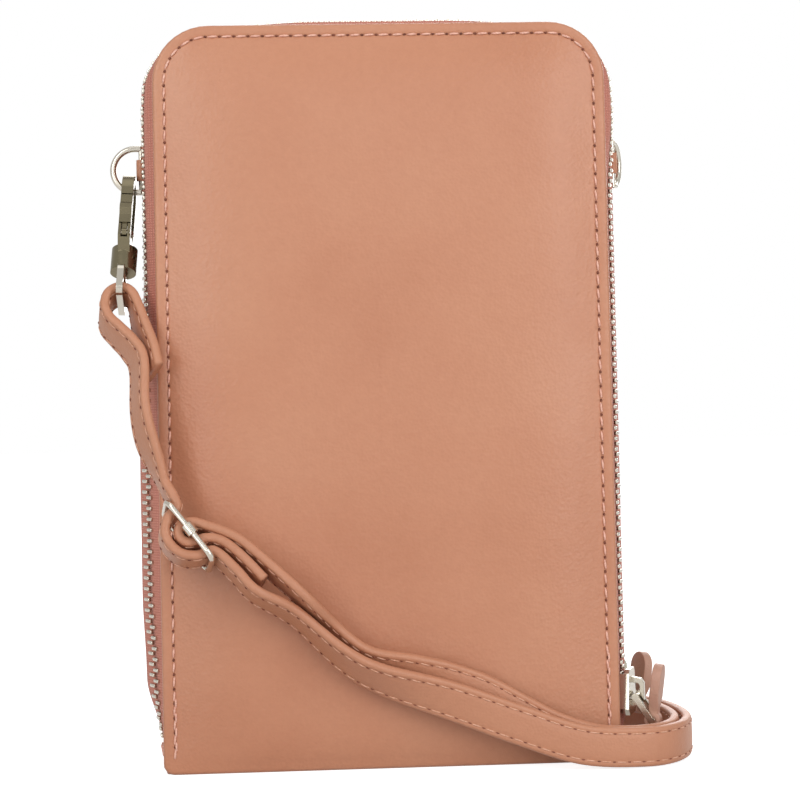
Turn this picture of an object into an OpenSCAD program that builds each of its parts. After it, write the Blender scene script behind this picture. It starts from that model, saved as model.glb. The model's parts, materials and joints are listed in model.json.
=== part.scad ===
/* [Pouch] */
// Width across the two zip chains
pouch_w = 111; // [100:1:130]
// Height to the top of the zip chains
pouch_h = 175; // [150:1:190]
// Radius of the two top corners, at the chains
corner_r = 13; // [9:1:18]
// How far the chains stand out past the panel edges
bulge = 3.5; // [2.5:0.5:5]
// Height over which the chains swell out on the right, below the sliders
swell_h = 9; // [7:1:9]
// Height over which the chains swell out on the left
swell_left = 20; // [9:1:24]
// Depth of each zipped compartment
chamber_d = 11; // [10:0.5:16]
// Depth of the leather band between the two zips
band_d = 5; // [4.5:0.5:7]
// How far the chains are turned to face the front and the back
tilt = 20; // [10:1:22]
// How far the padded front stands out
front_dome = 3.6; // [1:0.2:4]
// How far the padded back stands out
rear_dome = 2; // [0.6:0.2:3]

/* [Leather and lining] */
// Thickness of the leather of a panel
skin_t = 1.4; // [1:0.1:1.8]
// Thickness of a stiffening board
board_t = 1.2; // [0.8:0.1:1.6]
// Thickness of a lining or an inner pocket
lining_t = 0.6; // [0.4:0.1:0.9]
// Thickness of the leather base
base_t = 1.6; // [1.2:0.1:2]
// Thickness of the leather band between the zips
band_t = 1.2; // [1:0.1:1.6]
// Thickness of the middle board
middle_t = 1.6; // [1.2:0.1:2]
// Height of the highest card pocket
card_h = 105; // [80:1:120]
// Step between one card pocket and the next
card_step = 18; // [12:1:24]

/* [Zips] */
// Spacing of the teeth of one row
tooth_pitch = 2.5; // [2.3:0.1:3]
// Size of a tooth along the chain
tooth_w = 0.9; // [0.7:0.05:1]
// Height of a tooth above the tape
tooth_h = 1.2; // [1:0.1:1.8]
// Thickness of the tape
tape_t = 0.7; // [0.5:0.1:0.9]
// Height of the middle of a slider above the floor
slider_z = 15; // [14.5:0.5:20]
// Length of the leather pull tabs
tab_l = 13; // [12:0.5:18]
// Width of the leather pull tabs
tab_w = 7; // [6:0.5:8]

/* [Rings, clasps and strap] */
// Height of the middle of the side rings
ring_z = 140.5; // [137:0.5:141.5]
// Radius of a side ring's bow, at the middle of its wire
ring_r = 5.2; // [5:0.1:5.4]
// Radius of a side ring's wire
ring_wire = 0.75; // [0.65:0.05:0.8]
// Width of the shoulder strap
strap_w = 9; // [7.5:0.5:9.5]
// Thickness of the shoulder strap
strap_t = 2.2; // [1.6:0.1:2.3]
// Thickness of a clasp's hook
hook_t = 2.8; // [2.4:0.1:3]

/* [Hidden] */

// Depths, measured from the middle of the pouch
band_y = band_d / 2;
chain_y = band_y + chamber_d / 2;
// How far the middle of a chain lies inside the outline
chain_in = 1.2;
lining_y = band_y + chamber_d;
board_y = lining_y + lining_t;
skin_y = board_y + board_t;
lip_y = skin_y + skin_t;
// Clearances
seat_gap = 0.3;
tape_gap = 1;
// Length of the chain outline: one straight side, one corner, the top, and the whole way round
side_l = pouch_h - corner_r;
bend_l = PI * corner_r / 2;
top_l = pouch_w - 2 * corner_r;
track_l = 2 * side_l + 2 * bend_l + top_l;
// The panels' own outline
panel_w = pouch_w - 2 * bulge;
panel_h = pouch_h - bulge;
panel_r = corner_r - bulge;
foot_r = 2.5;

function smooth(t) = let (u = min(1, max(0, t))) u * u * (3 - 2 * u);
function unit(v) = v / norm(v);

// The chain outline at a length s from its lower left end, as [x, z, outward x, outward z]
function half_track(s) =
    s < side_l ? [-pouch_w / 2, s, -1, 0]
    : s < side_l + bend_l
        ? let (a = 180 - (s - side_l) / corner_r * 180 / PI)
            [-pouch_w / 2 + corner_r + corner_r * cos(a),
             pouch_h - corner_r + corner_r * sin(a), cos(a), sin(a)]
        : [-pouch_w / 2 + corner_r + s - side_l - bend_l, pouch_h, 0, 1];
function track_at(s) =
    s <= track_l / 2 ? half_track(s)
    : let (m = half_track(track_l - s)) [-m[0], m[1], -m[2], m[3]];
// Share of the swell reached at a length s
function swell_at(s) = let (b = track_at(s)) smooth(b[1] / (b[0] < 0 ? swell_left : swell_h));
// A point of the wall: side 0 is the panel edge, side 1 the chain, and out is how far outside it lies
function wall_at(s, side, out) =
    let (b = track_at(s), o = out - bulge * (1 - side * swell_at(s)))
    [b[0] + b[2] * o, b[1] + b[3] * o];
function half_stations(h) = concat([for (i = [0:4]) base_t + (h - base_t) * i / 4],
                                   [for (i = [0:6]) side_l + bend_l * i / 6]);
left_stations = half_stations(swell_left);
right_stations = half_stations(swell_h);
stations = concat(left_stations,
    [for (i = [len(right_stations) - 1:-1:0]) track_l - right_stations[i]]);

// Outline of a panel, set in by d, with the same number of points for any d
function arc_pts(cx, cz, r, a0, a1, n) =
    [for (i = [0:n]) let (a = a0 + (a1 - a0) * i / n) [cx + r * cos(a), cz + r * sin(a)]];
function span_pts(p, q, n) = [for (i = [1:n - 1]) p + (q - p) * i / n];
function panel_outline(d) =
    let (x = panel_w / 2 - d, lo = d, hi = panel_h - d,
         r = max(panel_r - d, 0.6), f = max(foot_r - d, 0.6))
    concat(arc_pts(-x + f, lo + f, f, 270, 180, 3),
           span_pts([-x, lo + f], [-x, hi - r], 7),
           arc_pts(-x + r, hi - r, r, 180, 90, 6),
           span_pts([-x + r, hi], [x - r, hi], 5),
           arc_pts(x - r, hi - r, r, 90, 0, 6),
           span_pts([x, hi - r], [x, lo + f], 7),
           arc_pts(x - f, lo + f, f, 0, -90, 3),
           span_pts([x - f, lo], [-x + f, lo], 5));
function ring_at(d, y) = [for (p = panel_outline(d)) [p[0], y, p[1]]];

// A closed solid through rings that all have the same number of points, each end closed by a fan
function middle_of(ring) = [for (p = ring) 1] * ring / len(ring);
module loft(rings) {
    n = len(rings[0]);
    m = len(rings);
    polyhedron(
        points = concat([for (r = rings) each r], [middle_of(rings[0]), middle_of(rings[m - 1])]),
        faces = concat(
            [for (i = [0:n - 1]) [i, (i + 1) % n, m * n]],
            [for (k = [0:m - 2]) for (i = [0:n - 1])
                let (j = (i + 1) % n) each [
                    [k * n + i, (k + 1) * n + i, (k + 1) * n + j],
                    [k * n + i, (k + 1) * n + j, k * n + j]]],
            [for (i = [0:n - 1]) [(m - 1) * n + (i + 1) % n, (m - 1) * n + i, m * n + 1]]),
        convexity = 6);
}

// A flat sheet in the pouch's own plane, from depth y to y + t
module sheet(y, t) {
    translate([0, y + t, 0]) rotate([90, 0, 0]) linear_extrude(t) children();
}

// A sheet with the outline of the wall, set in by d
module wall_sheet(y, t, side, d) {
    sheet(y, t) polygon([for (s = stations) wall_at(s, side, -d)]);
}

// A strip that runs up one side, over the top and down the other, through [depth, side, outside] points
module wall_strip(line, t) {
    back = [for (i = [len(line) - 1:-1:0]) line[i]];
    loft([for (s = stations) let (f = swell_at(s)) concat(
        [for (p = line) let (a = wall_at(s, p[1], p[2] * f)) [a[0], p[0], a[1]]],
        [for (p = back) let (a = wall_at(s, p[1], p[2] * f - t)) [a[0], p[0], a[1]]])]);
}

// Base, and the two panels with their padding, board and lining

module base_leather() {
    color("#b9785a") translate([-panel_w / 2, -skin_y, 0])
        cube([panel_w, 2 * skin_y - seat_gap, base_t]);
}

// How far in from the edge each ring of a padded panel lies, and its share of the crown
crown_steps = [[4, 0], [5.5, 0.18], [8, 0.42], [12, 0.68], [18, 0.87], [27, 0.97], [40, 1]];
edge_round = 0.5;

module padded_skin(dome) {
    outer = [for (i = [6:-1:0]) ring_at(crown_steps[i][0], lip_y + dome * crown_steps[i][1])];
    inner = [for (i = [0:6]) ring_at(crown_steps[i][0], skin_y + dome * crown_steps[i][1])];
    loft(concat(outer, [ring_at(edge_round, lip_y), ring_at(0, lip_y - edge_round),
                        ring_at(0, skin_y)], inner));
}

module padding(dome) {
    loft(concat([for (i = [6:-1:1]) ring_at(crown_steps[i][0],
                    skin_y - seat_gap + dome * crown_steps[i][1])],
                [ring_at(crown_steps[1][0], skin_y)]));
}

module front_panel() {
    color("#c98d6e") mirror([0, 1, 0]) padded_skin(front_dome);
}

module front_padding() {
    color("#e8e2d6") mirror([0, 1, 0]) padding(front_dome);
}

module front_board() {
    color("#9a8a78") wall_sheet(-skin_y, board_t, 0, tape_t + seat_gap);
}

module front_lining() {
    color("#8c5f4e") wall_sheet(-board_y, lining_t, 0, tape_t + seat_gap);
}

module rear_panel() {
    color("#c98d6e") padded_skin(rear_dome);
}

module rear_padding() {
    color("#e8e2d6") padding(rear_dome);
}

module rear_board() {
    color("#9a8a78") wall_sheet(board_y, board_t, 0, tape_t + seat_gap);
}

module rear_lining() {
    color("#8c5f4e") wall_sheet(lining_y, lining_t, 0, tape_t + seat_gap);
}

// Middle wall and what is sewn to it

module middle_band() {
    color("#c08163") wall_strip([[-band_y, 1, 0], [band_y, 1, 0]], band_t);
}

module middle_board() {
    color("#9a6b58") wall_sheet(-middle_t / 2, middle_t, 1, band_t + seat_gap);
}

pocket_margin = 7;
slip_margin = 4;
pocket_w = panel_w - 2 * pocket_margin;

module pocket(y, h, w) {
    sheet(y, lining_t) translate([-w / 2, base_t]) square([w, h]);
}

module phone_pocket() {
    color("#84574a") pocket(-middle_t / 2 - lining_t, card_h, pocket_w);
}

module card_pocket_high() {
    color("#94645a") pocket(middle_t / 2, card_h, pocket_w);
}

module card_pocket_middle() {
    color("#8c5c50") pocket(middle_t / 2 + lining_t, card_h - card_step, pocket_w);
}

module card_pocket_low() {
    color("#84574a") pocket(middle_t / 2 + 2 * lining_t, card_h - 2 * card_step, pocket_w);
}

module rear_slip_pocket() {
    color("#84574a") pocket(lining_y - lining_t, card_h - card_step, pocket_w - 2 * slip_margin);
}

// Folded gussets that stop the back from falling open
gusset_t = 0.7;
gusset_w = 5;
gusset_h = pouch_h - 2 * corner_r;
gusset_y0 = middle_t / 2 + seat_gap;
gusset_y1 = lining_y - seat_gap;
gusset_x = pocket_w / 2 + seat_gap;

module gusset() {
    step = (gusset_y1 - gusset_y0) / 4;
    near = [for (i = [0:4]) [gusset_x + (i % 2) * (gusset_w - 2.4), gusset_y0 + i * step]];
    far = [for (i = [4:-1:0]) near[i] + [gusset_t, 0]];
    translate([0, 0, base_t + seat_gap]) linear_extrude(gusset_h) polygon(concat(near, far));
}

module gusset_right() {
    color("#7d5347") gusset();
}

module gusset_left() {
    color("#7d5347") mirror([1, 0, 0]) gusset();
}

// Zip tapes and teeth

tooth_reach = 2.4;
tooth_mesh = 0.25;
tooth_seat = 0.15;
// How far the two rows part inside the slider, towards its nose
part_w = 1.3;
run_gap = 0.3;
flange_t = 0.8;
nose_half = tooth_reach + part_w + run_gap;
tail_half = tooth_reach + 0.4;
// Where the flanges begin and end, from the slider's nose and from its tail
nose_run = 1.6;
tail_run = 0.9;
// The tape lies flat as far as the slider reaches
tape_flat = nose_half + flange_t + run_gap;

// A point of the tape at a distance v across from the middle of the chain
function tape_at(v) = [chain_y + v * cos(tilt), 1, -chain_in - v * sin(tilt)];

module tape_to_panel() {
    wall_strip([[skin_y, 0, 0], tape_at(tape_flat), tape_at(tape_gap)], tape_t);
}

module tape_to_band() {
    wall_strip([tape_at(-tape_gap), tape_at(-tape_flat), [band_y, 1, 0]], tape_t);
}

module front_zip_tape_outer() {
    color("#c4746c") mirror([0, 1, 0]) tape_to_panel();
}

module front_zip_tape_inner() {
    color("#c4746c") mirror([0, 1, 0]) tape_to_band();
}

module rear_zip_tape_outer() {
    color("#c4746c") tape_to_panel();
}

module rear_zip_tape_inner() {
    color("#c4746c") tape_to_band();
}

teeth_from = 8;
slider_l = 10.5;
slider_nose = slider_z - slider_l / 2;
teeth_to = track_l - slider_nose + 1;
tooth_count = floor((teeth_to - teeth_from) / tooth_pitch) - 1;
function parting(s) =
    let (t = (track_l - s - slider_nose - nose_run) / (slider_l - nose_run - tail_run))
    part_w * (1 - min(1, max(0, t)));

// One row on the side of the chain given by hand, 1 towards the panel and -1 towards the band
module teeth(hand) {
    for (i = [0:tooth_count]) {
        s = teeth_from + (i + (hand > 0 ? 0 : 0.5)) * tooth_pitch;
        b = track_at(s);
        p = wall_at(s, 1, 0);
        a = atan2(b[3], b[2]);
        v = hand * (parting(s) + (tooth_reach - tooth_mesh) / 2);
        f = swell_at(s);
        translate([p[0], chain_y, p[1]]) rotate([0, -a, 0]) translate([-chain_in * f, 0, 0])
            rotate([0, 0, tilt * f]) translate([tooth_seat, v - (tooth_reach + tooth_mesh) / 2, -tooth_w / 2])
                cube([tooth_h - tooth_seat, tooth_reach + tooth_mesh, tooth_w]);
    }
}

module front_zip_teeth_outer() {
    color("#d9d6d0") mirror([0, 1, 0]) teeth(1);
}

module front_zip_teeth_inner() {
    color("#d9d6d0") mirror([0, 1, 0]) teeth(-1);
}

module rear_zip_teeth_outer() {
    color("#d9d6d0") teeth(1);
}

module rear_zip_teeth_inner() {
    color("#d9d6d0") teeth(-1);
}

// Stop at the chain's lower left end
stop_z = 3.4;
stop_h = 2.4;
stop_seat = 0.15;
stop_t = 0.9;

module zip_stop(y0, y1) {
    rise = [for (i = [0:3]) stop_z + stop_h * i / 3];
    sheet(y0, y1 - y0) polygon(concat([for (z = rise) wall_at(z, 1, stop_seat)],
                                      [for (i = [3:-1:0]) wall_at(rise[i], 1, stop_t)]));
}

module front_zip_stop() {
    color("#cfcac2") zip_stop(-chain_y - tooth_reach, -chain_y + tooth_reach);
}

module rear_zip_stop() {
    color("#cfcac2") zip_stop(chain_y - tooth_reach, chain_y - 0.2);
}

// Sliders, with their links and leather tabs

plate_t = 1.1;
chain_x = pouch_w / 2;
plate_x = chain_x + tooth_h + run_gap;
bail_x = plate_x + plate_t;

// A flat piece that faces outwards, from x to x + t
module facing(x, t) {
    translate([x, 0, 0]) rotate([90, 0, 90]) linear_extrude(t) children();
}

module slider_plate() {
    w0 = nose_half + flange_t;
    w1 = tail_half + flange_t;
    e = slider_l / 2;
    polygon([[-w0 + 1.5, -e], [w0 - 1.5, -e], [w0, -e + 1.5], [w1, e - 0.8], [w1 - 0.8, e],
             [-w1 + 0.8, e], [-w1, e - 0.8], [-w0, -e + 1.5]]);
}

module slider_flanges() {
    e = slider_l / 2;
    for (h = [-1, 1])
        polygon([[h * nose_half, -e + nose_run], [h * (nose_half + flange_t), -e + nose_run],
                 [h * (tail_half + flange_t), e - tail_run], [h * tail_half, e - tail_run]]);
}

module slider() {
    e = slider_l / 2;
    facing(plate_x, plate_t) slider_plate();
    facing(chain_x - tape_t - run_gap - plate_t, plate_t) slider_plate();
    facing(chain_x + run_gap, plate_x - chain_x - run_gap + 0.2) slider_flanges();
    translate([chain_x - tape_t - run_gap - 0.2, -0.65, -e])
        cube([plate_x - chain_x + tape_t + run_gap + 0.4, 1.3, 2.6]);
    translate([bail_x, bail_t / 2, 0]) rotate([90, 0, 0]) linear_extrude(bail_t) difference() {
        polygon([[-0.2, -3.4], [2.2, -3], [2.9, -2], [2.9, 2], [2.2, 3], [-0.2, 3.4]]);
        polygon([[-0.6, -2.1], [1.5, -1.9], [1.9, -1.4], [1.9, 1.4], [1.5, 1.9], [-0.6, 2.1]]);
    }
}

bail_t = 1.6;
link_wire = 0.6;
link_l = 6.5;
link_half = 2;
arm_t = 1;
// Where the link hangs in the bail, and how far below level it hangs
link_x = bail_x + 1.15;
link_z = slider_z - 1.1;
link_drop = 56;
tab_x = link_x + link_l * cos(link_drop);
tab_z = link_z - link_l * sin(link_drop);
tab_lean = 8;
tab_neck = 2.4;
tab_shoulder = 5;
tab_t = 2.2;

module pull_link() {
    for (h = [-1, 1])
        translate([0, h * (link_half + arm_t / 2) + arm_t / 2, 0]) rotate([90, 0, 0])
            linear_extrude(arm_t) union() {
                translate([0, -0.7]) square([link_l, 1.4]);
                circle(r = 0.85, $fn = 32);
                translate([link_l, 0]) circle(r = 0.85, $fn = 32);
            }
    for (x = [0, link_l])
        translate([x, link_half, 0]) rotate([90, 0, 0])
            cylinder(r = link_wire, h = 2 * link_half, $fn = 32);
}

module pull_tab() {
    root_w = 2 * link_half - 2 * seat_gap;
    difference() {
        union() {
            translate([0, root_w / 2, 0]) rotate([90, 0, 0]) cylinder(r = 1.9, h = root_w, $fn = 32);
            facing(-tab_t / 2, tab_t) union() {
                polygon([[-root_w / 2, 0], [root_w / 2, 0], [root_w / 2, tab_neck],
                         [tab_w / 2, tab_shoulder], [tab_w / 2, tab_l - tab_w / 2],
                         [-tab_w / 2, tab_l - tab_w / 2], [-tab_w / 2, tab_shoulder],
                         [-root_w / 2, tab_neck]]);
                translate([0, tab_l - tab_w / 2]) circle(r = tab_w / 2, $fn = 48);
            }
        }
        translate([0, tab_w, 0]) rotate([90, 0, 0])
            cylinder(r = link_wire + 0.05, h = 2 * tab_w, $fn = 32);
    }
}

// On the right side's chain, -1 the front one and 1 the rear one
module on_chain(hand) {
    translate([chain_x - chain_in, hand * chain_y, 0]) rotate([0, 0, hand * tilt])
        translate([-chain_x, 0, 0]) children();
}

module place_slider(hand) {
    on_chain(hand) translate([0, 0, slider_z]) children();
}

module place_link(hand) {
    on_chain(hand) translate([link_x, 0, link_z]) rotate([0, link_drop, 0]) children();
}

module place_tab(hand) {
    on_chain(hand) translate([tab_x, 0, tab_z]) rotate([0, tab_lean, 0]) children();
}

module front_slider() {
    color("#c9c4b8") place_slider(-1) slider();
}

module front_pull_link() {
    color("#d8d4ca") place_link(-1) pull_link();
}

module front_pull_tab() {
    color("#b8806a") place_tab(-1) pull_tab();
}

module rear_slider() {
    color("#c9c4b8") place_slider(1) slider();
}

module rear_pull_link() {
    color("#d8d4ca") place_link(1) pull_link();
}

module rear_pull_tab() {
    color("#b8806a") place_tab(1) pull_tab();
}

// Side rings in their leather tabs

ring_bar = 0.55;
ring_leg = 1.4;
ring_tab_r = 1.1;
ring_x = chain_x + ring_tab_r + 0.1;
ring_tab_h = 5;
// How far the free ring is swung towards the back
ring_swing = 68;

module ring_tab() {
    difference() {
        union() {
            translate([ring_x, 0, ring_z - ring_tab_h / 2]) cylinder(r = ring_tab_r, h = ring_tab_h, $fn = 48);
            translate([chain_x, -1, ring_z - ring_tab_h / 2]) cube([ring_tab_r, 2, ring_tab_h]);
        }
        translate([ring_x, 0, ring_z - ring_tab_h])
            cylinder(r = ring_bar + 0.08, h = 2 * ring_tab_h, $fn = 48);
    }
}

module side_ring() {
    translate([0, 0, -ring_r - 0.6]) cylinder(r = ring_bar, h = 2 * ring_r + 1.2, $fn = 32);
    for (h = [-1, 1])
        translate([0, 0, h * ring_r]) rotate([0, 90, 0]) cylinder(r = ring_wire, h = ring_leg, $fn = 32);
    translate([ring_leg, 0, 0]) rotate([90, 0, 0]) rotate([0, 0, -90])
        rotate_extrude(angle = 180, $fn = 48) translate([ring_r, 0]) circle(r = ring_wire, $fn = 24);
}

module ring_tab_right() {
    color("#b8785c") ring_tab();
}

module ring_tab_left() {
    color("#b8785c") mirror([1, 0, 0]) ring_tab();
}

module side_ring_right() {
    color("#c8c4ba") translate([ring_x, 0, ring_z]) rotate([0, 0, ring_swing]) side_ring();
}

module side_ring_left() {
    color("#c8c4ba") translate([-ring_x, 0, ring_z]) mirror([1, 0, 0]) side_ring();
}

// Clasps, each in its own frame: up along the clasp, the gate towards -Y, the swivel axis at x = y = 0

hook_r = 5.5;
hook_in = 3.3;
hook_top = 19.35;
hook_floor = 8.6;
hook_foot = 4;
collar_r = 3;
collar_z = -1.2;
post_r = 1;
gate_y = -(hook_r + hook_in) / 2;
gate_lo = 9.2;
gate_hi = 17.4;
pin_r = 0.5;
pin_z = 7.2;
slot_t = 1.5;
eye_w = strap_w + 1.2;
eye_h = 5.2;
eye_wire = 1.4;
eye_bar_z = -9;

module hook_outline() {
    difference() {
        union() {
            translate([0, hook_top]) circle(r = hook_r, $fn = 64);
            translate([-hook_r, hook_foot + 2]) square([2 * hook_r, hook_top - hook_foot - 2]);
            polygon([[-hook_r, hook_foot + 2.01], [-collar_r + 0.4, hook_foot - 1],
                     [collar_r - 0.4, hook_foot - 1], [hook_r, hook_foot + 2.01]]);
        }
        translate([0, hook_top]) circle(r = hook_in, $fn = 48);
        translate([-hook_in, hook_floor]) square([2 * hook_in, hook_top - hook_floor]);
        translate([-hook_r - 1, gate_lo]) square([hook_r - hook_in + 2, gate_hi - gate_lo]);
    }
}

module hook() {
    difference() {
        union() {
            facing(-hook_t / 2, hook_t) hook_outline();
            translate([0, 0, collar_z]) cylinder(r = collar_r, h = hook_foot + 1 - collar_z, $fn = 48);
        }
        translate([0, 0, collar_z - 1]) cylinder(r = post_r + 0.05, h = hook_floor - collar_z + 2, $fn = 32);
        translate([-slot_t / 2, -hook_r - 1, pin_z - 1.5])
            cube([slot_t, hook_r - hook_in + 1.9, gate_lo - pin_z + 2.5]);
        translate([-hook_t, gate_y, pin_z]) rotate([0, 90, 0]) cylinder(r = pin_r, h = 2 * hook_t, $fn = 24);
    }
}

module gate() {
    blade = slot_t - 2 * 0.15;
    top = gate_hi - seat_gap;
    difference() {
        union() {
            facing(-blade / 2, blade) union() {
                translate([gate_y, pin_z]) circle(r = 1.1, $fn = 32);
                translate([gate_y - 0.7, pin_z]) square([1.4, gate_lo - pin_z + 1]);
            }
            facing(-hook_t / 2, hook_t) polygon([
                [gate_y - 1.1, gate_lo + seat_gap], [gate_y + 1.1, gate_lo + seat_gap],
                [gate_y + 1.1, top], [gate_y - 1.1, top], [gate_y - 1.1, top - 2],
                [gate_y - 1.9, top - 3], [gate_y - 1.9, top - 4], [gate_y - 1.1, top - 5.4]]);
        }
        translate([-hook_t, gate_y, pin_z]) rotate([0, 90, 0])
            cylinder(r = pin_r + 0.05, h = 2 * hook_t, $fn = 24);
    }
}

module gate_pin() {
    translate([-hook_t / 2, gate_y, pin_z]) rotate([0, 90, 0]) cylinder(r = pin_r, h = hook_t, $fn = 24);
}

module eye_plate(w, h, r) {
    union() {
        translate([-w / 2 + r, 0]) square([w - 2 * r, h]);
        translate([-w / 2, r]) square([w, h - 2 * r]);
        for (x = [-1, 1]) for (z = [r, h - r]) translate([x * (w / 2 - r), z]) circle(r = r, $fn = 32);
    }
}

module swivel() {
    foot = eye_bar_z - eye_wire / 2;
    facing(-0.75, 1.5) difference() {
        translate([0, foot]) eye_plate(eye_w + 2 * eye_wire, eye_h + 2 * eye_wire, 2);
        translate([0, foot + eye_wire]) eye_plate(eye_w, eye_h, 1);
    }
    translate([0, 0, foot + eye_h + 1.5 * eye_wire])
        cylinder(r = post_r, h = hook_floor + 0.5 - foot - eye_h - 1.5 * eye_wire, $fn = 32);
    translate([0, 0, hook_floor + 0.2]) cylinder(r = 1.8, h = 0.9, $fn = 32);
}

// The near clasp hangs on the left ring, leaning forwards
grip_x = 2.8;
grip_z = ring_z - sqrt(ring_r * ring_r - pow(grip_x - ring_leg, 2));
hang = [-26.6, 2.8, 0];
hang_at = [-ring_x - grip_x, 0, grip_z];
grip_v = hook_top + hook_in - ring_wire - 0.6;

module place_near() {
    translate(hang_at) rotate(hang) translate([0, 0, -grip_v]) children();
}

// The far clasp lies behind the pouch, its eye upright
far_at = [-24, 69, 6.9];

module place_far() {
    translate(far_at) rotate([0, 0, -90]) rotate([90, 0, 0]) children();
}

module near_hook() {
    color("#b9b3a2") place_near() hook();
}

module near_gate() {
    color("#a79f8a") place_near() gate();
}

module near_gate_pin() {
    color("#8f8a7c") place_near() gate_pin();
}

module near_swivel() {
    color("#c9c4b8") place_near() swivel();
}

module far_hook() {
    color("#b9b3a2") place_far() hook();
}

module far_gate() {
    color("#a79f8a") place_far() gate();
}

module far_gate_pin() {
    color("#8f8a7c") place_far() gate_pin();
}

module far_swivel() {
    color("#c9c4b8") place_far() swivel();
}

// Slide buckle, in a plane of its own: along, above and across the strap

buckle_at = [-45.5, -27.5, 55];
buckle_turn = 50;
buckle_tip = -32;
buckle_yaw = -18;
bar_r = 1;
bar_gap = 8.2;
buckle_wire = 0.7;
buckle_bend = 2;
cuff_r = 1.3;
cuff_l = 2.6;

module place_buckle() {
    translate(buckle_at) rotate([buckle_tip, buckle_turn, buckle_yaw]) children();
}

module rod(r, l) {
    translate([0, l / 2, 0]) rotate([90, 0, 0]) cylinder(r = r, h = l, $fn = 32);
}

module slide_buckle() {
    rail_y = eye_w / 2 + buckle_wire;
    color("#d5d0c6") place_buckle() union() {
        rod(bar_r, 2 * rail_y);
        for (h = [-1, 1]) {
            translate([h * bar_gap, 0, 0]) rod(buckle_wire, 2 * (rail_y - buckle_bend));
            translate([0, h * rail_y, 0]) rotate([0, 0, 90]) rod(buckle_wire, 2 * (bar_gap - buckle_bend));
        }
        for (c = [[1, 1, 0], [-1, 1, 90], [-1, -1, 180], [1, -1, 270]])
            translate([c[0] * (bar_gap - buckle_bend), c[1] * (rail_y - buckle_bend), 0])
                rotate([0, 0, c[2]]) rotate_extrude(angle = 90, $fn = 48)
                    translate([buckle_bend, 0]) circle(r = buckle_wire, $fn = 24);
        translate([0, -rail_y, 0]) rotate([0, 0, 90]) rod(cuff_r, cuff_l);
    }
}

// Shoulder strap: control points chosen by hand, each a place and the direction of the strap's width

// Around the near eye, as [x, up, turn] in the clasp's own plane, from the sewn end
near_loop = [[8.6, -18.5, 0.45], [7.2, -13, 0.42], [5.2, -7.5, 0.35], [3.8, -2.8, 0.2], [2.4, 0.9, 0.05],
             [0, 2.2, 0], [-2.6, 0.8, 0], [-3.6, -2.4, 0.1], [-2.8, -5.6, 0.25], [-0.2, -8.6, 0.35],
             [2.8, -12, 0.4], [5.2, -16.5, 0.42]];
// From the clasp down to the buckle, as places
near_run = [[-56, -24.3, 84], [-54.3, -24.6, 75.5]];
// Through the buckle, as [along, above] in the buckle's plane
weave_long = [[-14, 3.4], [-10, 2.6], [-7.9, 2.2], [-6.3, 1.5], [-5.9, 0], [-5.4, -1.8], [-3.4, -4.1],
              [-0.4, -5], [2.8, -4.3], [5, -2.2], [5.9, -0.1], [6.4, 1.5], [8, 2.3], [10.2, 2.7], [14, 3.1],
              [19.5, 3.6]];
weave_return = [[26, 11.2], [19, 10.1], [13.5, 9.1], [8, 7.9], [4, 5.9], [1, 3.9], [-1.3, 2.2], [-2.3, 0.3],
                [-1.8, -1.5], [-0.2, -2.35], [1.6, -1.75], [2.5, -0.1], [3.2, 2], [5, 4], [8, 5.3],
                [12.5, 6.1], [18.5, 6.6]];
// Down across the front, as [x, y, z, tilt of the width towards upright]
front_long = [[-22, -27, 36.5, 30], [-11.5, -27, 27, 42], [-3, -26.8, 22, 50], [12.5, -26.3, 16.7, 76],
              [28, -26, 10.7, 88], [42.5, -26, 5.8, 90]];
front_return = [[-14.5, -25, 33.5, 36], [-6, -24.5, 26, 48], [4.5, -24.4, 23, 65], [12.5, -23.6, 20.4, 82],
                [20, -23.1, 17.4, 88], [28, -23, 12.9, 90], [36, -23, 8.6, 90], [45, -23.2, 5.6, 90]];
// Both runs side by side, round the right side and folded behind, as [x, y, z]
paired = [[55.5, -24.1, 4.8], [63.4, -19.6, 4.8], [67.8, -10, 4.8], [68.4, 1.8, 4.8], [66, 13.2, 4.8],
          [60.4, 22.8, 4.8], [51, 28.8, 4.8], [38, 31, 4.8], [0, 31, 4.8], [-36, 31, 4.8], [-46, 34, 4.8],
          [-50, 40.5, 4.8], [-46, 47, 4.8], [-36, 50, 4.8], [-8, 50, 4.8], [20, 50, 4.8], [29, 52.5, 4.8],
          [33, 59.5, 4.8], [29, 66.5, 4.8], [20, 69, 4.9], [8, 69, 5.6], [-5, 69, 6.8]];
// Round the far eye, as places
far_loop = [[-10, 71, 6.9], [-13.5, 71.6, 6.9], [-16.6, 70.6, 6.9], [-16.6, 67.4, 6.9],
            [-13.5, 66.4, 6.9], [-10, 67.55, 7.1]];
// Where the strap's sewn end meets the run that comes back
far_end = [-5.35, 67.55, 6.83];
pair_gap = 1.45;
run_steps = 2;

// Axes of the clasp's and the buckle's planes
clasp_up = [cos(hang[0]) * sin(hang[1]), -sin(hang[0]), cos(hang[0]) * cos(hang[1])];
clasp_across = [0, -cos(hang[0]), -sin(hang[0])];
eye_at = hang_at + clasp_up * (eye_bar_z - grip_v);
function yawed(v, a) = [v[0] * cos(a) - v[1] * sin(a), v[0] * sin(a) + v[1] * cos(a), v[2]];
buckle_along = yawed([cos(buckle_turn), 0, -sin(buckle_turn)], buckle_yaw);
buckle_across = yawed(-[sin(buckle_tip) * sin(buckle_turn), cos(buckle_tip),
                        sin(buckle_tip) * cos(buckle_turn)], buckle_yaw);
buckle_up = cross(buckle_across, buckle_along);
upright = [0, 0, 1];

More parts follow.
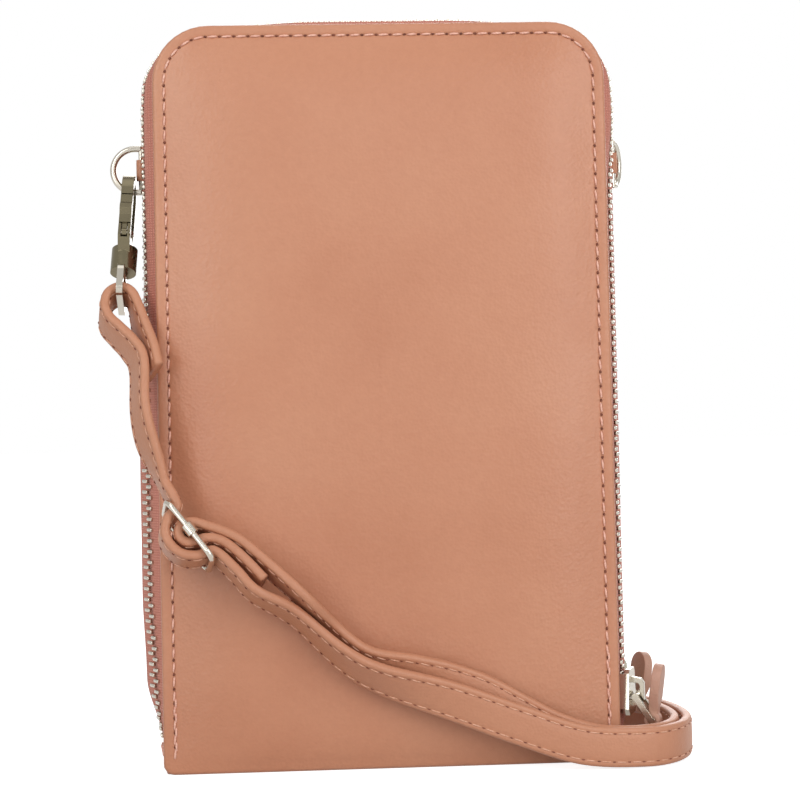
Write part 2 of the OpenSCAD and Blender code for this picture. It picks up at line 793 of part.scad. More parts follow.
function tilted(a) = [0, -cos(a), sin(a)];
function pair_side(i, hand) =
    let (p = paired[max(0, i - 1)], q = paired[min(len(paired) - 1, i + 1)], d = unit([q[0] - p[0], q[1] - p[1]]))
    paired[i] + hand * pair_gap * [d[1], -d[0], 0];
long_points = concat(
    [for (p = near_loop) [eye_at + [p[0], 0, 0] + clasp_up * p[1], unit(clasp_across + [p[2], 0, 0])]],
    [[near_run[0], unit(clasp_across + [0.4, 0, 0])], [near_run[1], unit(buckle_across + [0.3, 0, 0.2])]],
    [for (p = weave_long) [buckle_at + buckle_along * p[0] + buckle_up * p[1], buckle_across]],
    [for (p = front_long) [[p[0], p[1], p[2]], tilted(p[3])]],
    [for (i = [0:len(paired) - 1]) [pair_side(i, 1), upright]],
    [for (p = far_loop) [p, upright]],
    [[far_end, upright]]);
return_points = concat(
    [for (i = [len(paired) - 1:-1:0]) [pair_side(i, -1), upright]],
    [for (i = [len(front_return) - 1:-1:0]) let (p = front_return[i]) [[p[0], p[1], p[2]], tilted(p[3])]],
    [for (p = weave_return) [buckle_at + buckle_along * p[0] + buckle_up * p[1], buckle_across]]);

// A smooth run through the control points
function blend4(a, b, c, d, t) =
    0.5 * (2 * b + (c - a) * t + (2 * a - 5 * b + 4 * c - d) * t * t + (3 * b - a - 3 * c + d) * t * t * t);
function run(points, part) =
    let (n = len(points) - 1)
    concat([for (i = [0:n - 1]) for (k = [0:run_steps - 1])
        blend4(points[max(0, i - 1)][part], points[i][part], points[i + 1][part],
               points[min(n, i + 2)][part], k / run_steps)], [points[n][part]]);
edge_cut = 0.5;
strap_section = let (a = strap_w / 2, b = strap_t / 2, c = edge_cut)
    [[a - c, b], [a, b - c], [a, c - b], [a - c, -b], [c - a, -b], [-a, c - b], [-a, b - c], [c - a, b]];

module strap(points) {
    place = run(points, 0);
    width = run(points, 1);
    n = len(place) - 1;
    loft([for (i = [0:n])
        let (d = unit(place[min(n, i + 1)] - place[max(0, i - 1)]),
             w = unit(width[i] - d * (d * width[i])), h = cross(w, d))
        [for (c = strap_section) place[i] + w * c[0] + h * c[1]]]);
}

module strap_long() {
    color("#c58a6c") strap(long_points);
}

module strap_return() {
    color("#bd8265") strap(return_points);
}

base_leather();
front_panel();
front_padding();
front_board();
front_lining();
front_zip_tape_outer();
front_zip_tape_inner();
front_zip_teeth_outer();
front_zip_teeth_inner();
front_zip_stop();
middle_band();
middle_board();
phone_pocket();
card_pocket_high();
card_pocket_middle();
card_pocket_low();
rear_zip_tape_inner();
rear_zip_teeth_inner();
rear_zip_stop();
gusset_left();
gusset_right();
rear_panel();
rear_padding();
rear_board();
rear_lining();
rear_slip_pocket();
rear_zip_tape_outer();
rear_zip_teeth_outer();
front_slider();
front_pull_link();
front_pull_tab();
rear_slider();
rear_pull_link();
rear_pull_tab();
ring_tab_left();
ring_tab_right();
side_ring_left();
side_ring_right();
near_hook();
near_gate();
near_gate_pin();
near_swivel();
far_hook();
far_gate();
far_gate_pin();
far_swivel();
slide_buckle();
strap_long();
strap_return();
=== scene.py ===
"""A slim leather phone pouch with a zip round each compartment and a long shoulder strap."""
import json
import math
from collections import namedtuple
import bpy
from mathutils import Matrix, Vector, noise


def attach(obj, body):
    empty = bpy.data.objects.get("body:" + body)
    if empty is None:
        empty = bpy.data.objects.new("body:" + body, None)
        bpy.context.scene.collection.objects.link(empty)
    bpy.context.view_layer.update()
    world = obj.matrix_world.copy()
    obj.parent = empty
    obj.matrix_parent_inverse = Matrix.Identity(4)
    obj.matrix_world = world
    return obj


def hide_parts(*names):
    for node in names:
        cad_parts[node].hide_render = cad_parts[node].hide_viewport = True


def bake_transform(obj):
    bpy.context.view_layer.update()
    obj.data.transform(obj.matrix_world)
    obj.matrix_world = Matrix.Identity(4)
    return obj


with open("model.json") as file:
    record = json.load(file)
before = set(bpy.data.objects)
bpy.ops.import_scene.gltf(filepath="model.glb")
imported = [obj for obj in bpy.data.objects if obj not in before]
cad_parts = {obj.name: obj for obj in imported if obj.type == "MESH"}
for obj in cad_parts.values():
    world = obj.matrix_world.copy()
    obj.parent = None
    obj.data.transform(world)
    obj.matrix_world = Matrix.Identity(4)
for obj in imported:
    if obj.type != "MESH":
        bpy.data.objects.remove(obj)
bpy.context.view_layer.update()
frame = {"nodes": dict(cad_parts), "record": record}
MM = 0.001

# Sizes of the pouch, in millimetres; its leather is a little fuller and rounder than the plain solids
POUCH_W, POUCH_H = 111.0, 175.0
CORNER_R, FOOT_R, BULGE = 16.0, 2.5, 2.9
PANEL_W, PANEL_H, PANEL_R = POUCH_W - 2 * BULGE, POUCH_H - BULGE, CORNER_R - BULGE
FRONT_DOME, REAR_DOME = 3.6, 2.0
# Depths from the middle of the pouch
BAND_Y, CHAIN_Y, LINING_Y, SKIN_Y, LIP_Y = 2.5, 8.0, 13.5, 15.3, 16.7
# Thicknesses
BASE_T, TAPE_T, BAND_T, BAND_LEATHER_T = 1.6, 0.7, 1.2, 0.85
BOARD_T, LINING_T, MIDDLE_T = 1.2, 0.6, 1.6
# Heights over which the chains swell out above the base, and where the sliders' run ends
SWELL_RIGHT, SWELL_LEFT, RUN_END = 9.0, 20.0, 132.0
# How far a chain lies inside the outline and bows out, and how many degrees it faces the front
CHAIN_IN, BELLY = 1.2, 0.95
RUN_TILT, LEFT_TILT_MORE, TOP_TILT = 20, 9, 7
# Half the width of tape that lies flat, and half the gap between tapes where open, in a slider's run and closed
TAPE_FLAT, OPEN_GAP, OUTER_RUN_GAP, INNER_RUN_GAP, CLOSED_GAP = 5.1, 1.0, 0.74, 0.94, 0.15
STITCH_STEP = 3.3
# Each side's name, its direction along Y and the body its panel rides on
SIDES = (("front", -1, "pouch"), ("rear", 1, "rear_cover"))


def deselect():
    bpy.ops.object.select_all(action="DESELECT")


def select_only(obj):
    deselect()
    bpy.context.view_layer.objects.active = obj
    obj.select_set(True)


def give(obj, material):
    obj.data.materials.clear()
    obj.data.materials.append(material)


def eased(value, start, end):
    """0 up to the start, 1 from the end on, and a smooth rise between them."""
    t = min(1.0, max(0.0, (value - start) / (end - start)))
    return t * t * (3 - 2 * t)


def tuck_at(x, z):
    """How far the walls are drawn in behind the panels at an upper corner, from 0 to 1."""
    beyond, above = abs(x) - (POUCH_W / 2 - CORNER_R), z - (POUCH_H - CORNER_R)
    if above <= 0:
        return 0.0
    if beyond <= 0:
        return 1 - eased(-beyond, 0, 24)
    return eased(math.degrees(math.atan2(above, beyond)), 0, 50)


def swell_at(x, z):
    """Share of the chains' swell at a place, slower on the left side and small at the corners."""
    return eased(z, 0, SWELL_LEFT if x < 0 else SWELL_RIGHT) * (1 - 0.95 * tuck_at(x, z))


def belly_at(x, z):
    """How far the chains bow out at mid height, on the right side only above the sliders' run."""
    start = 21 if x < 0 else RUN_END
    return BELLY * eased(z, start, start + 20) * eased(z, 168, 152) * (1 - tuck_at(x, z))


def tilt_at(x, z):
    """How far the chain faces the front, most of all low on the left side."""
    if x < 0:
        low, fade = RUN_TILT + LEFT_TILT_MORE * eased(z, 8, 22), eased(z, 78, 133)
    else:
        low, fade = RUN_TILT, eased(z, RUN_END, RUN_END + 22)
    return math.radians(low + (TOP_TILT - low) * fade)


def between(table, x):
    """The value at x of a table of (x, value) pairs."""
    for (x0, v0), (x1, v1) in zip(table, table[1:]):
        if x <= x1:
            return v0 + (v1 - v0) * (x - x0) / (x1 - x0)
    return table[-1][1]


def mesh_piece(name, points, faces, uvs=None):
    """A new piece from points in millimetres."""
    mesh = bpy.data.meshes.new(name)
    mesh.from_pydata([Vector(p) * MM for p in points], [], faces)
    if uvs:
        layer = mesh.uv_layers.new(name="run")
        for loop in mesh.loops:
            layer.data[loop.index].uv = uvs[loop.vertex_index]
    mesh.polygons.foreach_set("use_smooth", [True] * len(mesh.polygons))
    mesh.update()
    obj = bpy.data.objects.new(name, mesh)
    bpy.context.scene.collection.objects.link(obj)
    return obj


def loft(name, rings, uvs=None):
    """A solid through rings with the same number of points, closed at both ends."""
    n, m = len(rings[0]), len(rings)
    points = [p for ring in rings for p in ring]
    faces = [(k * n + i, (k + 1) * n + i, (k + 1) * n + (i + 1) % n, k * n + (i + 1) % n)
             for k in range(m - 1) for i in range(n)]
    faces += [tuple(range(n)), tuple(range((m - 1) * n, m * n))[::-1]]
    return mesh_piece(name, points, faces, uvs)


def stand_in(piece, node, body):
    """The piece rides on a body and takes a plain solid's place."""
    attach(piece, body)
    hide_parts(node)


# Camera: a little to the left and turned up, so that the uprights draw together at the top
camera = bpy.data.objects.new("camera", bpy.data.cameras.new("camera"))
bpy.context.scene.collection.objects.link(camera)
camera.data.lens = 88.27
camera.data.sensor_width = 36
camera.data.shift_y = -0.089
camera.data.clip_start = 0.01
CAMERA_TURN, CAMERA_PITCH, CAMERA_ROLL = math.radians(-3.0), math.radians(2.01), math.radians(-1.25)
CAMERA_AIM, CAMERA_REACH = Vector((0.00352, -0.0167, 0.085)), 0.4533
camera.matrix_world = (Matrix.Translation(CAMERA_AIM) @ Matrix.Rotation(CAMERA_TURN, 4, "Z")
                       @ Matrix.Translation((0, -CAMERA_REACH, 0))
                       @ Matrix.Rotation(math.radians(90) + CAMERA_PITCH, 4, "X")
                       @ Matrix.Rotation(CAMERA_ROLL, 4, "Z"))
bpy.context.scene.camera = camera

# Shoulder strap: the same points as the plain solids follow, in millimetres
STRAP_W, STRAP_T, STRAP_SEAM_IN = 9.0, 2.2, 1.35
RING_X, RING_Z, RING_R, RING_LEG = 56.7, 140.5, 5.2, 1.4
# How the clasp hangs: its lean out and sideways, where it grips the ring, and its eye for the strap
CLASP_LEAN, CLASP_SWAY = math.radians(-26.6), math.radians(2.8)
GRIP_X, GRIP_UP, EYE_BAR_UP = 2.8, 21.3, -9.0
hang_at = Vector((-RING_X - GRIP_X, 0, RING_Z - math.sqrt(RING_R ** 2 - (GRIP_X - RING_LEG) ** 2)))
clasp_turn = Matrix.Rotation(CLASP_SWAY, 3, "Y") @ Matrix.Rotation(CLASP_LEAN, 3, "X")
clasp_up = clasp_turn @ Vector((0, 0, 1))
clasp_across = clasp_turn @ Vector((0, -1, 0))
eye_at = hang_at + clasp_up * (EYE_BAR_UP - GRIP_UP)

BUCKLE_AT = Vector((-45.5, -27.5, 55))
buckle_turn = (Matrix.Rotation(math.radians(-18), 3, "Z") @ Matrix.Rotation(math.radians(50), 3, "Y")
               @ Matrix.Rotation(math.radians(-32), 3, "X"))
buckle_along = buckle_turn @ Vector((1, 0, 0))
buckle_across = buckle_turn @ Vector((0, -1, 0))
buckle_up = buckle_turn @ Vector((0, 0, 1))

# The strap's run. NEAR_LOOP is round the clasp's eye, as (across, up, width's turn). The weaves are in the
# buckle's own plane. The front runs are (x, y, z, degrees that the width leans back). The others are places.
NEAR_LOOP = [(8.6, -18.5, 0.45), (7.2, -13, 0.42), (5.2, -7.5, 0.35), (3.8, -2.8, 0.2), (2.4, 0.9, 0.05),
             (0, 2.2, 0), (-2.6, 0.8, 0), (-3.6, -2.4, 0.1), (-2.8, -5.6, 0.25), (-0.2, -8.6, 0.35),
             (2.8, -12, 0.4), (5.2, -16.5, 0.42)]
NEAR_RUN = [(-56, -24.3, 84), (-54.3, -24.6, 75.5)]
WEAVE_LONG = [(-14, 3.4), (-10, 2.6), (-7.9, 2.2), (-6.3, 1.5), (-5.9, 0), (-5.4, -1.8), (-3.4, -4.1),
              (-0.4, -5), (2.8, -4.3), (5, -2.2), (5.9, -0.1), (6.4, 1.5), (8, 2.3), (10.2, 2.7), (14, 3.1),
              (19.5, 3.6)]
WEAVE_RETURN = [(26, 11.2), (19, 10.1), (13.5, 9.1), (8, 7.9), (4, 5.9), (1, 3.9), (-1.3, 2.2), (-2.3, 0.3),
                (-1.8, -1.5), (-0.2, -2.35), (1.6, -1.75), (2.5, -0.1), (3.2, 2), (5, 4), (8, 5.3),
                (12.5, 6.1), (18.5, 6.6)]
FRONT_LONG = [(-22, -27, 36.5, 30), (-11.5, -27, 27, 42), (-3, -26.8, 22, 50), (12.5, -26.3, 16.7, 76),
              (28, -26, 10.7, 88), (42.5, -26, 5.8, 90)]
FRONT_RETURN = [(-14.5, -25, 33.5, 36), (-6, -24.5, 26, 48), (4.5, -24.4, 23, 65), (12.5, -23.6, 20.4, 82),
                (20, -23.1, 17.4, 88), (28, -23, 12.9, 90), (36, -23, 8.6, 90), (45, -23.2, 5.6, 90)]
PAIRED = [(55.5, -24.1, 4.8), (63.4, -19.6, 4.8), (67.8, -10, 4.8), (68.4, 1.8, 4.8), (66, 13.2, 4.8),
          (60.4, 22.8, 4.8), (51, 28.8, 4.8), (38, 31, 4.8), (0, 31, 4.8), (-36, 31, 4.8), (-46, 34, 4.8),
          (-50, 40.5, 4.8), (-46, 47, 4.8), (-36, 50, 4.8), (-8, 50, 4.8), (20, 50, 4.8), (29, 52.5, 4.8),
          (33, 59.5, 4.8), (29, 66.5, 4.8), (20, 69, 4.9), (8, 69, 5.6), (-5, 69, 6.8)]
FAR_LOOP = [(-10, 71, 6.9), (-13.5, 71.6, 6.9), (-16.6, 70.6, 6.9), (-16.6, 67.4, 6.9),
            (-13.5, 66.4, 6.9), (-10, 67.55, 7.1)]
FAR_END = (-5.35, 67.55, 6.83)
PAIR_GAP = 1.45
UPRIGHT = Vector((0, 0, 1))


def leaning(p):
    """A place of the strap on the front, and its width's direction."""
    a = math.radians(p[3])
    return Vector(p[:3]), Vector((0, -math.cos(a), math.sin(a)))


def pair_side(i, hand):
    """A place of one of the two runs that lie side by side."""
    p, q = PAIRED[max(0, i - 1)], PAIRED[min(len(PAIRED) - 1, i + 1)]
    d = Vector((q[0] - p[0], q[1] - p[1])).normalized()
    return Vector(PAIRED[i]) + hand * PAIR_GAP * Vector((d.y, -d.x, 0)), UPRIGHT


def in_buckle(p):
    """A place of the strap where it is threaded through the buckle."""
    return BUCKLE_AT + buckle_along * p[0] + buckle_up * p[1], buckle_across


def near_loop_place(p):
    return (eye_at + Vector((p[0], 0, 0)) + clasp_up * p[1],
            (clasp_across + Vector((p[2], 0, 0))).normalized())


long_points = ([near_loop_place(p) for p in NEAR_LOOP]
               + [(Vector(NEAR_RUN[0]), (clasp_across + Vector((0.4, 0, 0))).normalized()),
                  (Vector(NEAR_RUN[1]), (buckle_across + Vector((0.3, 0, 0.2))).normalized())]
               + [in_buckle(p) for p in WEAVE_LONG] + [leaning(p) for p in FRONT_LONG]
               + [pair_side(i, 1) for i in range(len(PAIRED))]
               + [(Vector(p), UPRIGHT) for p in FAR_LOOP] + [(Vector(FAR_END), UPRIGHT)])
return_points = ([pair_side(i, -1) for i in range(len(PAIRED) - 1, -1, -1)]
                 + [leaning(p) for p in FRONT_RETURN[::-1]] + [in_buckle(p) for p in WEAVE_RETURN])


def spline(a, b, c, d, t):
    """A point between b and c on a smooth curve through the four."""
    return 0.5 * (2 * b + (c - a) * t + (2 * a - 5 * b + 4 * c - d) * t * t + (3 * b - a - 3 * c + d) * t ** 3)


def smooth_run(points, steps=6):
    """A run through the points, closely spaced: place, direction, width and thickness direction of each."""
    n = len(points) - 1
    out = []
    for i in range(n):
        four = [points[j] for j in (max(0, i - 1), i, i + 1, min(n, i + 2))]
        for k in range(steps):
            out.append(tuple(spline(*[f[part] for f in four], k / steps) for part in (0, 1)))
    out.append(points[n])
    places = [p for p, _ in out]
    frames = []
    for i, (p, w) in enumerate(out):
        d = (places[min(len(out) - 1, i + 1)] - places[max(0, i - 1)]).normalized()
        w = (w - d * d.dot(w)).normalized()
        frames.append((p, d, w, w.cross(d)))
    return frames


def strap_outline():
    """Half the rounded, stitched-down outline of the strap, as (across, up) pairs."""
    a, b = STRAP_W / 2, STRAP_T / 2
    half = [(a, 0), (a - 0.08, b * 0.45), (a - 0.3, b * 0.78), (a - 0.7, b * 0.95), (a - 1.05, b * 0.95),
            (a - STRAP_SEAM_IN, b * 0.86), (a - 1.7, b * 0.96), (a - 2.6, b * 1.04), (0.9, b * 1.06)]
    top = half + [(-x, z) for x, z in half[::-1]]
    return top + [(x, -z) for x, z in top[-2:0:-1]]


def sweep_strap(name, frames):
    """The strap along a run, and how far along it each frame lies."""
    section = strap_outline()
    total, run, previous = 0.0, [], None
    for p, _, _, _ in frames:
        total += (p - previous).length if previous is not None else 0.0
        run.append(total)
        previous = p
    rings = [[p + w * c[0] + h * c[1] for c in section] for p, d, w, h in frames]
    uvs = [(s * MM, c[0] * MM) for s in run for c in section]
    return loft(name, rings, uvs), run


STITCH_PROFILE = [(-0.5, 0.25), (-0.36, 0.85), (0, 1.05), (0.36, 0.85), (0.5, 0.25)]
STITCH_SIDES = 6


def lay_stitches(name, spots, length, thick):
    """Short threads at spots, each a place, a direction along the seam and a direction out of the leather."""
    points, faces = [], []
    rows = len(STITCH_PROFILE)
    for place, along, out in spots:
        side = out.cross(along).normalized()
        base = len(points)
        for t, r in STITCH_PROFILE:
            sink = thick * (0.55 - 1.6 * abs(t) ** 2)
            for i in range(STITCH_SIDES):
                a = 2 * math.pi * i / STITCH_SIDES
                points.append(place + along * (t * length) + out * sink
                              + (side * math.cos(a) + out * math.sin(a)) * (r * thick / 2))
        rings = [[base + k * STITCH_SIDES + i for i in range(STITCH_SIDES)] for k in range(rows)]
        for low, high in zip(rings, rings[1:]):
            for i in range(STITCH_SIDES):
                j = (i + 1) % STITCH_SIDES
                faces.append((low[i], low[j], high[j], high[i]))
        faces.append(tuple(rings[0])[::-1])
        faces.append(tuple(rings[-1]))
    return mesh_piece(name, points, faces)


def strap_stitch_spots(frames, run, start, sunk):
    """Spots of the two seam rows, on both faces, from start to shortly before the end of the run."""
    spots = []
    s, i = start, 0
    while s < run[-1] - 3:
        while run[i + 1] < s:
            i += 1
        t = (s - run[i]) / (run[i + 1] - run[i])
        p = frames[i][0].lerp(frames[i + 1][0], t)
        d, w, h = (frames[i][k].lerp(frames[i + 1][k], t).normalized() for k in (1, 2, 3))
        for side in (-1, 1):
            for face in (-1, 1):
                place = p + w * (side * (STRAP_W / 2 - STRAP_SEAM_IN)) + h * (face * STRAP_T / 2 * sunk)
                spots.append((place, d, h * face))
        s += STITCH_STEP
    return spots


strap_runs = {}
for node, points in (("strap_long", long_points), ("strap_return", return_points)):
    frames = smooth_run(points)
    strap_runs[node] = (frames, *sweep_strap(node + "_leather", frames))
straps, strap_threads, strap_shaded_holes = [], [], []
for node, (frames, piece, run) in strap_runs.items():
    thread_spots = strap_stitch_spots(frames, run, 2.5, 0.86)
    hole_spots = strap_stitch_spots(frames, run, 2.5 + STITCH_STEP / 2, 0.9)
    straps.append(piece)
    strap_threads.append(lay_stitches(node + "_threads", thread_spots, 2.2, 0.28))
    # Small dark pieces between the stitches: painted shade inside the strap's needle holes
    strap_shaded_holes.append(lay_stitches(node + "_holes", hole_spots, 0.75, 0.27))
for (node, (frames, piece, run)), threads, holes in zip(strap_runs.items(), strap_threads, strap_shaded_holes):
    stand_in(piece, node, "pouch")
    for extra in (threads, holes):
        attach(extra, "pouch")


# Panels: leather over thin foam, with a turned edge and a seam round three sides
# Segments of a panel's outline along a foot corner, a side, a top corner, the top and the foot
FOOT_N, SIDE_N, CORNER_N, TOP_N, BASE_N = 4, 36, 10, 22, 24


def panel_outline(d, fine=1):
    """The outline of a panel set in by d, from its lower left corner round over the top, as (x, z)."""
    x, lo, hi = PANEL_W / 2 - d, d, PANEL_H - d
    r, f = max(PANEL_R - d, 0.6), max(FOOT_R - d, 0.6)

    def arc(cx, cz, radius, a0, a1, n):
        return [(cx + radius * math.cos(math.radians(a0 + (a1 - a0) * i / n)),
                 cz + radius * math.sin(math.radians(a0 + (a1 - a0) * i / n))) for i in range(n + 1)]

    def span(p, q, n):
        return [(p[0] + (q[0] - p[0]) * i / n, p[1] + (q[1] - p[1]) * i / n) for i in range(1, n)]

    return (arc(-x + f, lo + f, f, 270, 180, FOOT_N * fine) + span((-x, lo + f), (-x, hi - r), SIDE_N * fine)
            + arc(-x + r, hi - r, r, 180, 90, CORNER_N * fine) + span((-x + r, hi), (x - r, hi), TOP_N * fine)
            + arc(x - r, hi - r, r, 90, 0, CORNER_N * fine) + span((x, hi - r), (x, lo + f), SIDE_N * fine)
            + arc(x - f, lo + f, f, 0, -90, FOOT_N * fine) + span((x - f, lo), (-x + f, lo), BASE_N * fine))


SEAM_INSET, SEAM_DEPTH = 2.7, 0.22
# Rise of the leather's face over the plain lip, against the distance from its edge
EDGE_RISE = [(0, -0.75), (0.12, -0.4), (0.35, -0.12), (0.8, 0.0), (1.8, 0.02), (2.3, -0.06), (2.7, -0.28),
             (3.1, -0.08), (3.7, 0.0), (60, 0.0)]
# Share of the dome's height against the distance from the sides and the top, and from the foot
CROWN = [(0, 0), (4, 0), (5.5, 0.16), (8, 0.38), (12, 0.64), (18, 0.85), (27, 0.96), (40, 1), (200, 1)]
FOOT_CROWN = [(0, -0.12), (1.2, 0.12), (3, 0.34), (6, 0.56), (11, 0.76), (18, 0.9), (28, 0.98), (40, 1),
              (200, 1)]
# Distances from the edge at which the leather's face is shaped
PANEL_STEPS = [0, 0.12, 0.35, 0.8, 1.4, 1.9, 2.3, 2.5, 2.7, 2.9, 3.1, 3.6, 4.3, 5.2, 6.3, 7.6, 9.2, 11, 13.2,
               15.8, 19, 22.5, 26.5, 31, 35.5, 40, 44, 48, 51]


def softened(table, x):
    """The table's value, rounded off between its rows."""
    return sum(between(table, max(0.0, x + k)) for k in (-2.4, -1.2, 0, 1.2, 2.4)) / 5


def crown(x, z, d):
    """Share of the dome's height at a place d from a panel's edge; low down only its sides count as edge."""
    edge = PANEL_W / 2 - abs(x)
    share = softened(CROWN, edge) * softened(CROWN, PANEL_H - z) * softened(FOOT_CROWN, z)
    return share * eased(min(edge if z < 40 else d, edge, PANEL_H - z), 2.8, 5.2)


def leather_wave(x, z, seed):
    """Slow unevenness of the leather over its foam."""
    p = Vector((x / 27, z / 34, seed))
    q = Vector((x / 9, z / 6, seed + 4))
    return 0.22 * noise.noise(p) + 0.05 * noise.noise(q)


def facing(rings, hand):
    """The rings turned so that a piece's faces look outwards; hand is -1 for the front and 1 for the back."""
    return [ring[::-1] for ring in rings] if hand < 0 else rings


def under_face(hand, dome, first, gap):
    """Rings under a panel's leather, from its middle out to a distance from its edge."""
    return [[(x, hand * (SKIN_Y + gap + dome * crown(x, z, d)), z) for x, z in panel_outline(d)]
            for d in PANEL_STEPS[::-1] if d >= first]


def padded_panel(name, hand, dome, seed):
    """A domed leather panel with its turned edge, its seam's groove and its hollow underside."""
    rings = []
    for d in PANEL_STEPS[::-1]:
        ring = []
        for x, z in panel_outline(d):
            groove = between(EDGE_RISE, d)
            if d > 0.8:
                groove *= eased(z - d, 1.5, 3)
            y = LIP_Y + groove + dome * crown(x, z, d) + leather_wave(x, z, seed) * eased(d, 4, 14)
            ring.append((x, hand * y, z))
        rings.append(ring)
    for d, y in ((0.05, LIP_Y - 1.0), (0.3, LIP_Y - 1.32), (0.8, SKIN_Y + 0.02), (3.6, SKIN_Y + 0.02)):
        rings.append([(x, hand * y, z) for x, z in panel_outline(d)])
    rings += under_face(hand, dome, 4.3, 0.02)[::-1]
    return loft(name, facing(rings, hand))


def foam_pad(name, hand, dome):
    """The foam between a panel's leather and its board, flat behind and domed in front."""
    rings = under_face(hand, dome, 5.2, -0.12)
    rings.append([(x, hand * SKIN_Y, z) for x, z in panel_outline(5.0)])
    return loft(name, facing(rings, hand))


def panel_seam_spots(hand, first=0.0):
    """Spots along the sides and the top of a panel's seam, twice as close where it is sewn back at each end."""
    fine = 3
    last = fine * (2 * (FOOT_N + SIDE_N + CORNER_N) + TOP_N)
    line = [Vector((x, 0, z)) for x, z in panel_outline(SEAM_INSET, fine)[:last]]
    face = hand * (LIP_Y - SEAM_DEPTH)
    out = Vector((0, hand, 0))
    spots, carried = [], STITCH_STEP * first
    for p, q in zip(line, line[1:]):
        step = (q - p).length
        if min(p.z, q.z) < 3.5 or step > 20:
            continue
        along = (q - p).normalized()
        while carried < step:
            c = p + along * carried
            sewn_back = c.z < (24 if c.x > 0 else 17.5)
            spots.append((Vector((c.x, face, c.z)), (along + Vector((0.1, 0, 0.06))).normalized(), out))
            if sewn_back and not first:
                spots.append((Vector((c.x + 0.3, face, c.z + 0.5 * STITCH_STEP)), along, out))
            carried += STITCH_STEP
        carried -= step
    return spots


panels = [padded_panel("front_panel_leather", -1, FRONT_DOME, 1.3),
          padded_panel("rear_panel_leather", 1, REAR_DOME, 7.9)]
panel_threads = [lay_stitches(f"{side}_panel_seam", panel_seam_spots(hand), 2.3, 0.54)
                 for side, hand, _ in SIDES]
# Small dark pieces where the needle holes are: painted shade inside the holes
panel_shaded_holes = [lay_stitches(f"{side}_panel_shaded_holes", panel_seam_spots(hand, 0.5), 0.7, 0.48)
               for side, hand, _ in SIDES]
for piece, threads, holes, (side, _, body) in zip(panels, panel_threads, panel_shaded_holes, SIDES):
    for part in (piece, threads, holes):
        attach(part, body)
    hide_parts(side + "_panel")


# Foam, boards, linings and pockets inside the two compartments
foam_pads = [foam_pad("front_foam", -1, FRONT_DOME), foam_pad("rear_foam", 1, REAR_DOME)]
for piece, (side, _, body) in zip(foam_pads, SIDES):
    stand_in(piece, side + "_padding", body)

# Lengths along the chain's outline: a straight side, a corner, the top and the whole way round
SIDE_L, BEND_L, TOP_L = POUCH_H - CORNER_R, math.pi * CORNER_R / 2, POUCH_W - 2 * CORNER_R
TRACK = 2 * SIDE_L + 2 * BEND_L + TOP_L


def side_place(run):
    """Place and outward direction on the outline at a length up the left side and round its corner."""
    if run <= SIDE_L:
        return -POUCH_W / 2, run, -1.0, 0.0
    a = math.pi - (run - SIDE_L) / CORNER_R
    ox, oz = math.cos(a), math.sin(a)
    return -POUCH_W / 2 + CORNER_R * (1 + ox), POUCH_H - CORNER_R * (1 - oz), ox, oz


def side_lengths(low_n, high_n, bend_n):
    """Lengths up the left side and round its corner, closer together where the chain swells out."""
    return ([BASE_T + (SWELL_LEFT - BASE_T) * i / low_n for i in range(low_n + 1)]
            + [SWELL_LEFT + (SIDE_L - SWELL_LEFT) * i / high_n for i in range(1, high_n)]
            + [SIDE_L + BEND_L * i / bend_n for i in range(bend_n + 1)])


def wall_outline(side, inset):
    """Outline of the wall at the panel edge (side 0) or the chain (side 1), set in by inset, as (x, z)."""
    half = side_lengths(12, 32, 8)

    def placed(run, hand):
        x, z, ox, oz = side_place(run)
        o = -inset - BULGE * (1 - side * swell_at(hand * x, z))
        return hand * (x + ox * o), z + oz * o

    left = [placed(run, 1) for run in half]
    top = [(-POUCH_W / 2 + CORNER_R + TOP_L * i / 24, left[-1][1]) for i in range(1, 24)]
    return left + top + [placed(run, -1) for run in half[::-1]]


def lining_sheet(name, outline, y0, y1):
    """A soft sheet between two depths, its edges slightly rounded."""
    cx = sum(p[0] for p in outline) / len(outline)
    cz = sum(p[1] for p in outline) / len(outline)

    def ring(share, y):
        return [(cx + (x - cx) * share, y, cz + (z - cz) * share) for x, z in outline]

    shares = (0.3, 0.7, 0.96, 0.997)
    rings = [ring(share, y1) for share in shares] + [ring(1, (y0 + y1) / 2)]
    rings += [ring(share, y0) for share in shares[::-1]]
    return loft(name, rings)


def pocket_outline(w, h, dip):
    """A pocket's outline, its top edge dipping a little in the middle."""
    top = [(w / 2 - w * i / 24, BASE_T + h - dip * (1 - (2 * i / 24 - 1) ** 2)) for i in range(25)]
    side = [BASE_T + h * i / 12 for i in range(12)]
    return ([(w / 2, z) for z in side] + top + [(-w / 2, z) for z in side[::-1]]
            + [(-w / 2 + w * i / 12, BASE_T) for i in range(1, 12)])


